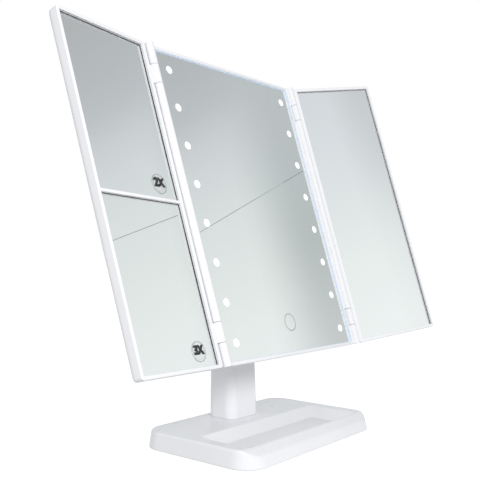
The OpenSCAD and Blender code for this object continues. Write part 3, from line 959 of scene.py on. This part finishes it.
def make_sticker(node, mark, pane, sag):
    rect, y0 = pane
    low, high = local_box(node, LEFT)
    x, z = (low.x + high.x) / 2, (low.z + high.z) / 2
    r = (high.x - low.x) / 2
    face = hollow_depth(rect, y0, sag, x, z) - 0.01
    disc = add_object(f"film_{mark}", rod(1, (x, 0, z), r, face - LABEL_T, face, 0.04))
    stand_for(place(disc, LEFT, [FILM]), "left_wing", "clear_label", node)
    top = face - LABEL_T
    section = [(r - 0.05, top - 0.02), (r - 0.05, top + 0.02), (r - 0.25, top + 0.02), (r - 0.25, top - 0.02)]
    outline = turned(1, (x, 0, z), section, wrap=True)
    rim = add_object(f"film_rim_{mark}", outline)
    stand_for(place(rim, LEFT, [RING]), "left_wing", "clear_label")
    text = bpy.data.curves.new("mark", "FONT")
    text.body = mark.upper()
    text.size = MARK_SIZE
    text.offset = MARK_BOLD
    text.extrude = MARK_T
    text.align_x, text.align_y = "CENTER", "CENTER"
    letters = bpy.data.objects.new(f"mark_{mark}", text)
    bpy.context.scene.collection.objects.link(letters)
    graph = bpy.context.evaluated_depsgraph_get()
    mesh = bpy.data.meshes.new_from_object(letters.evaluated_get(graph))
    bpy.data.objects.remove(letters)
    to_face = Matrix(((-1, 0, 0, x), (0, 0, -1, face - LABEL_T), (0, 1, 0, z + MARK_RISE), (0, 0, 0, 1)))
    mesh.transform(to_face)
    mesh.flip_normals()
    printed = bpy.data.objects.new(f"mark_{mark}", mesh)
    bpy.context.scene.collection.objects.link(printed)
    stand_for(place(printed, LEFT, [INK]), "left_wing", "clear_label")


make_sticker("label_2x", "2x", UPPER, SAG_2X)
make_sticker("label_3x", "3x", LOWER, SAG_3X)


# ---------- backs, battery housing and bracket ----------


def make_cover(name, node, matrix, r=1.2, rear=1.0):
    low, high = local_box(node, matrix)
    return add_object(name, plate(low.x, high.x, low.z, high.z, r, low.y, high.y, 0.15, rear))


def centres(node, matrix):
    """The middle of each separate screw of a node, in a local frame."""
    bm = bmesh.new()
    bm.from_mesh(frame["nodes"][node].data)
    bmesh.ops.remove_doubles(bm, verts=bm.verts, dist=1e-6)
    inverse = matrix.inverted()
    left, found = set(bm.verts), []
    while left:
        group, frontier = set(), [left.pop()]
        while frontier:
            v = frontier.pop()
            group.add(v)
            for e in v.link_edges:
                other = e.other_vert(v)
                if other in left:
                    left.discard(other)
                    frontier.append(other)
        points = [inverse @ v.co for v in group]
        found.append([Vector([f(p[i] for p in points) for i in range(3)]) for f in (min, max)])
    bm.free()
    return sorted(found, key=lambda box: [round(c, 2) for c in box[0]])


def make_screws(name, node, matrix, body, head_t, rising=True):
    """Pan-head screws with a cross recess, where the CAD's plain ones are, their heads towards +y."""
    solids, slots = [], []
    for low, high in centres(node, matrix):
        x, z = (low.x + high.x) / 2, (low.z + high.z) / 2
        r = (high.x - low.x) / 2
        top, end = (high.y, low.y) if rising else (low.y, high.y)
        out = 1 if rising else -1
        shank = r * 0.46
        under = top - out * head_t
        profile = [(shank * 0.5, end), (shank, end + out * 0.6), (shank, under), (r, under),
                   (r, top - out * head_t * 0.55), (r * 0.86, top - out * head_t * 0.2), (r * 0.5, top)]
        solids.append(turned(1, (x, 0, z), profile, 32))
        deep = sorted((top - out * head_t * 0.55, top + out))
        slots.append(block(x - r * 0.55, x + r * 0.55, *deep, z - r * 0.1, z + r * 0.1))
        slots.append(block(x - r * 0.1, x + r * 0.1, *deep, z - r * 0.55, z + r * 0.55))
    obj = add_object(name, merged(solids))
    cut(obj, tool(*slots[::2]))
    cut(obj, tool(*slots[1::2]))
    place(obj, matrix, [SLOT_MATERIALS["steel"]], 40)
    return stand_for(obj, body, "steel", node)


def make_back_plate():
    obj = make_cover("back_plate", "back_shell", HEAD, 1.5, 0.5)
    low, high = local_box("back_shell", HEAD)
    recess = [(1.35, low.y - 1), (1.35, high.y - 1.2), (2.6, high.y - 1.2), (2.6, high.y - 0.2),
              (3.0, high.y + 0.2)]
    places = [((a.x + b.x) / 2, (a.z + b.z) / 2) for a, b in centres("head_screws", HEAD)]
    cut(obj, tool(*[turned(1, (x, 0, z), recess) for x, z in places]))
    return place(obj, HEAD, [SATIN])


HOUSING_LOW, HOUSING_HIGH = local_box("battery_housing", HEAD)
DOOR_LOW, DOOR_HIGH = local_box("battery_door", HEAD)
USB_LOW, USB_HIGH = local_box("usb_socket", HEAD)
HOUSING_WALL = 3
BAY_FLOOR = 9.15
BAY = (-22.8, 22.8, -12, 38)
GROOVES = 6
GROOVE_PITCH = 2.4


def make_housing():
    low, high = HOUSING_LOW, HOUSING_HIGH

    def outline(inset):
        return rounded_rect(low.x + inset, high.x - inset, low.z + inset, high.z - inset, 6 - inset, 10)

    levels = [(0.35, low.y), (0.1, low.y + 0.12), (0, low.y + 0.4)] + fillet(3, 3, high.y, 8)
    obj = add_object("battery_case", slab(outline, levels))
    door_w = DOOR_HIGH.x - 1.4
    rear = high.y + 2
    wall = HOUSING_WALL
    x0, x1, z0, z1 = BAY
    room = block(low.x + wall, high.x - wall, low.y - 1, high.y - 2.2, low.z + wall, z0 - 2)
    pockets = [block(a, b, low.y - 1, high.y - 4.5, z0, high.z - wall)
               for a, b in ((x1 + 3, high.x - wall), (low.x + wall, x0 - 3))]
    cut(obj, tool(room, *pockets))
    cut(obj, tool(block(x0, x1, BAY_FLOOR, rear, z0, z1)))
    cut(obj, tool(block(-door_w, door_w, DOOR_LOW.y - 0.1, rear, DOOR_LOW.z - 0.1, high.z + 5)))
    cut(obj, tool(block(DOOR_LOW.x - 0.2, DOOR_HIGH.x + 0.2, DOOR_LOW.y - 0.1, DOOR_LOW.y + 0.9,
                        DOOR_LOW.z - 0.1, high.z + 5)))
    cut(obj, tool(block(USB_LOW.x - 2, high.x + 2, USB_LOW.y - 0.1, USB_HIGH.y + 0.1,
                        USB_LOW.z - 0.1, USB_HIGH.z + 0.1)))
    return place(obj, HEAD, [SATIN])


def make_door():
    low, high = DOOR_LOW, DOOR_HIGH
    lid = plate(low.x + 1.5, high.x - 1.5, low.z, high.z, 0.8, low.y, high.y, 0.1, 0.5)
    rails = plate(low.x, high.x, low.z + 0.02, high.z - 0.02, 0.3, low.y + 0.02, low.y + 0.8, 0.1, 0.1)
    obj = join(add_object("battery_lid", lid), tool(rails))
    grooves = []
    for i in range(GROOVES):
        z = low.z + 9 + (i + 0.25) * GROOVE_PITCH
        grooves.append(rod(0, (0, high.y + 0.15, z), 0.65, -8, 8, 0.4))
    cut(obj, tool(*grooves))
    return place(obj, HEAD, [SATIN])


BRACKET_T = 2.5
EAR_IN = 9.95
EAR_T = 6.6
EAR_R = 11


def make_bracket():
    low, high = local_box("tilt_bracket", HEAD)
    foot = plate(low.x, high.x, low.z, high.z, 4, low.y, low.y + BRACKET_T, 0.1, 0.9)
    obj = add_object("hinge_bracket", foot)
    base = low.y + 1
    for side in (-1, 1):
        rings = []
        middle = EAR_IN + EAR_T / 2
        for inset, h in both_ways(fillet(0.8, 0.8, EAR_T / 2, 4)):
            r = EAR_R - inset
            ring = [(side * (middle + h), base, PIVOT.z - EAR_R - 1 + inset)]
            for i in range(29):
                a = -math.pi / 2 + math.pi * i / 28
                ring.append((side * (middle + h), PIVOT.y + r * math.cos(a), PIVOT.z + r * math.sin(a)))
            ring.append((side * (middle + h), base, PIVOT.z + EAR_R + 1 - inset))
            rings.append(ring)
        join(obj, tool(loft(rings)))
        inner, outer = sorted((side * (EAR_IN + EAR_T - 3), side * (EAR_IN + EAR_T + 2)))
        cut(obj, tool(rod(0, (0, PIVOT.y, PIVOT.z), 5.6, inner, outer)))
    cut(obj, tool(rod(0, (0, PIVOT.y, PIVOT.z), 3.02, -EAR_IN - EAR_T - 1, EAR_IN + EAR_T + 1)))
    return place(obj, HEAD, [SATIN])


stand_for(make_back_plate(), "head", "white_plastic", "back_shell")
stand_for(make_housing(), "head", "white_plastic", "battery_housing")
stand_for(make_door(), "door", "white_plastic", "battery_door")
stand_for(make_bracket(), "head", "white_plastic", "tilt_bracket")
for side, matrix in (("left", LEFT), ("right", RIGHT)):
    cover = make_cover(f"{side}_wing_back", f"{side}_back", matrix)
    stand_for(place(cover, matrix, [SATIN]), f"{side}_wing", "white_plastic", f"{side}_back")
make_screws("back_screws", "head_screws", HEAD, "head", 1.0)
make_screws("hinge_bracket_screws", "bracket_screws", HEAD, "head", 1.2)
UNDERSIDE = space(Vector(), X, Vector((0, 0, 1)), Vector((0, -1, 0)))
make_screws("underside_screws", "base_screws", UNDERSIDE, "base", 1.2, False)


# ---------- camera, floor and light ----------

CAMERA_AT = (-0.4675, -0.3462, 0.1505)
CAMERA_TURN = math.radians(51.43)
CAMERA_PITCH = math.radians(-5.41)
CAMERA_ROLL = math.radians(0.61)
CAMERA_LENS = 53.82
CAMERA_SHIFT = 0.1705


def heading(azimuth, elevation):
    """Direction at an azimuth clockwise from +Y and an elevation above the horizon, in degrees."""
    a, e = math.radians(azimuth), math.radians(elevation)
    return Vector((math.sin(a) * math.cos(e), math.cos(a) * math.cos(e), math.sin(e)))


def make_camera():
    data = bpy.data.cameras.new("camera")
    data.sensor_width = 36
    data.lens = CAMERA_LENS
    data.shift_y = CAMERA_SHIFT
    data.clip_start, data.clip_end = 0.01, 50
    obj = bpy.data.objects.new("camera", data)
    bpy.context.scene.collection.objects.link(obj)
    forward = heading(math.degrees(CAMERA_TURN), math.degrees(CAMERA_PITCH))
    level = Vector((math.cos(CAMERA_TURN), -math.sin(CAMERA_TURN), 0))
    above = level.cross(forward)
    right = level * math.cos(CAMERA_ROLL) + above * math.sin(CAMERA_ROLL)
    up = above * math.cos(CAMERA_ROLL) - level * math.sin(CAMERA_ROLL)
    obj.matrix_world = Matrix.Translation(CAMERA_AT) @ Matrix((right, up, -forward)).transposed().to_4x4()
    bpy.context.scene.camera = obj


def make_floor():
    s = Shader("pale_floor")
    s.colour(s.ramp(s.noise(3, 3), [(NOISE_LOW, srgb(180, 180, 182)), (NOISE_HIGH, srgb(188, 188, 189))]))
    s.set(Roughness=0.8).glow(WHITE, 0.86)
    bm = bmesh.new()
    bmesh.ops.create_grid(bm, x_segments=2, y_segments=2, size=6)
    floor = add_object("floor", bm)
    floor.data.materials.append(s.material)
    floor.visible_diffuse = False


def area_light(name, at, size, power, target=(0, 0, 0.15)):
    data = bpy.data.lights.new(name, "AREA")
    data.shape = "DISK"
    data.size = size
    data.energy = power
    obj = bpy.data.objects.new(name, data)
    obj.location = at
    obj.rotation_euler = (Vector(target) - Vector(at)).to_track_quat("-Z", "Y").to_euler()
    bpy.context.scene.collection.objects.link(obj)
    obj.visible_camera = False
    obj.visible_glossy = False
    obj.visible_transmission = False


def reflected_only(obj):
    """A studio item that shows in the mirrors only, and casts no shadow."""
    obj.visible_camera = False
    obj.visible_diffuse = False
    obj.visible_shadow = False


def make_seam():
    """The dark seam where two backdrops meet, as a thin rod that runs away from the mirror."""
    s = Shader("seam")
    s.colour(s.ramp(s.noise(4), [(NOISE_LOW, srgb(84, 88, 88)), (NOISE_HIGH, srgb(96, 100, 100))]))
    s.set(Roughness=1.0, Specular_IOR_Level=0.0).glow(srgb(128, 134, 134), STAGE_GLOW)
    along = SEAM_TO - SEAM_FROM
    turn = along.to_track_quat("Z", "Y").to_matrix().to_4x4()
    rod_mesh = turned(2, (0, 0, 0), [(0.45, 0), (1.6, along.length / MM)], 12)
    obj = add_object("seam", rod_mesh)
    obj.data.transform(Matrix.Translation(SEAM_FROM) @ turn @ WORLD)
    obj.data.materials.append(s.material)
    reflected_only(obj)


def make_flag():
    """A grey card with a soft edge beside the mirror, which darkens the right of the centre glass."""
    s = Shader("flag")
    axes = s.axes(s.place)
    ease = s.node("ShaderNodeMath", operation="POWER")
    ease.inputs[1].default_value = 1.8
    s.link(s.mapped(axes["X"], 0, FLAG_SOFT), ease.inputs[0])
    s.link(ease.outputs[0], s.principled.inputs["Alpha"])
    s.set(Base_Color=(0, 0, 0, 1), Specular_IOR_Level=0.0).glow(WHITE, STAGE_GLOW)
    tones = [(0.15, srgb(208, 212, 213)), (0.42, srgb(191, 198, 198)), (0.67, srgb(196, 201, 204))]
    s.link(s.ramp(s.mapped(axes["Z"], 0, FLAG_SIZE[1]), tones), s.principled.inputs["Emission Color"])
    obj = add_object("flag", block(0, FLAG_SIZE[0], 0, 0.002, 0, FLAG_SIZE[1]))
    across = (heading(27, 0) - FLAG_EDGE * FLAG_EDGE.dot(heading(27, 0))).normalized()
    corner = FLAG_AT - FLAG_EDGE * 0.25 - across * FLAG_SOFT * 0.68
    turn = Matrix((across, FLAG_EDGE.cross(across), FLAG_EDGE)).transposed().to_4x4()
    obj.matrix_world = Matrix.Translation(corner) @ turn
    obj.data.materials.append(s.material)
    reflected_only(obj)


def make_sky():
    """A pale studio: brightest at the horizon, greyer overhead. The camera sees plain white."""
    world = bpy.data.worlds.new("studio")
    bpy.context.scene.world = world
    world.use_nodes = True
    world.cycles.sampling_method = "NONE"
    world.node_tree.nodes.clear()
    t = Nodes(world.node_tree)

    def mixed(share, a, b):
        made = t.node("ShaderNodeMix", data_type="RGBA")
        t.link(share, made.inputs["Factor"])
        for index, value in ((6, a), (7, b)):
            if hasattr(value, "node"):
                t.link(value, made.inputs[index])
            else:
                made.inputs[index].default_value = value
        return made.outputs[2]

    def combined(operation, a, b):
        made = t.node("ShaderNodeMath", operation=operation)
        t.link(a, made.inputs[0])
        t.link(b, made.inputs[1])
        return made.outputs[0]

    axes = t.axes(t.node("ShaderNodeTexCoord").outputs["Generated"])

    def sky_ramp(stops):
        """Grey by elevation: stops of (degrees above the horizon, red, green, blue)."""
        places = [math.sin(math.radians(degrees)) / 2 + 0.5 for degrees, *rgb in stops]
        colours = [[c * SKY_GAIN for c in srgb(*rgb)[:3]] + [1.0] for degrees, *rgb in stops]
        return t.ramp(t.mapped(axes["Z"], -1, 1), list(zip(places, colours)))

    below = [(-60, 176, 177, 180), (-8, 216, 218, 219)]
    side = sky_ramp([*below, (0, 238, 241, 241), (14, 233, 236, 236), (16.8, 230, 234, 233),
                     (20, 225, 229, 228), (25, 217, 222, 222), (29, 209, 213, 215),
                     (31, 202, 206, 208), (33.3, 188, 192, 195), (35.5, 182, 186, 189),
                     (39, 177, 179, 181), (60, 172, 174, 178)])
    front = sky_ramp([*below, (0, 240, 242, 242), (22, 237, 240, 240), (27, 231, 235, 234),
                      (32, 222, 226, 227), (36, 217, 220, 224), (40, 212, 215, 219), (60, 205, 207, 211)])
    fall = t.mapped(combined("DIVIDE", axes["X"], axes["Y"]), -0.21, -0.265, 0, 0.42)
    share = combined("MAXIMUM", fall, t.mapped(axes["X"], 0.28, 0.62))
    sky = mixed(share, front, side)
    path = t.node("ShaderNodeLightPath").outputs
    soft = t.node("ShaderNodeVectorMath", operation="SCALE")
    t.link(sky, soft.inputs[0])
    soft.inputs["Scale"].default_value = FILL
    mirrored = combined("MAXIMUM", path["Is Glossy Ray"], path["Is Transmission Ray"])
    sky = mixed(mirrored, soft.outputs[0], sky)
    sky = mixed(path["Is Camera Ray"], sky, WHITE)
    background = t.node("ShaderNodeBackground")
    t.link(sky, background.inputs["Color"])
    output = t.node("ShaderNodeOutputWorld")
    t.link(background.outputs["Background"], output.inputs["Surface"])


SEAM_FROM = Vector((0.245, -0.057, 0.311))
SEAM_TO = Vector((3.0, -2.13, 1.93))
FLAG_AT = Vector((0.359, -0.179, 0.303))
FLAG_EDGE = Vector((-0.098, 0.35, 0.932)).normalized()
FLAG_SIZE = (0.28, 0.6)
FLAG_SOFT = 0.09
SKY_GAIN = 1.034
STAGE_GLOW = 0.926          # brightness of the seam and the card
FILL = 0.72                 # how much of the sky's brightness lights the matt surfaces
make_camera()
make_floor()
make_sky()
make_seam()
make_flag()
area_light("key", (-0.42, -0.62, 0.42), 0.25, 3.6)
area_light("side", (-1.2, -0.45, 0.55), 0.7, 1.8)
bpy.context.scene.view_settings.view_transform = "Standard"
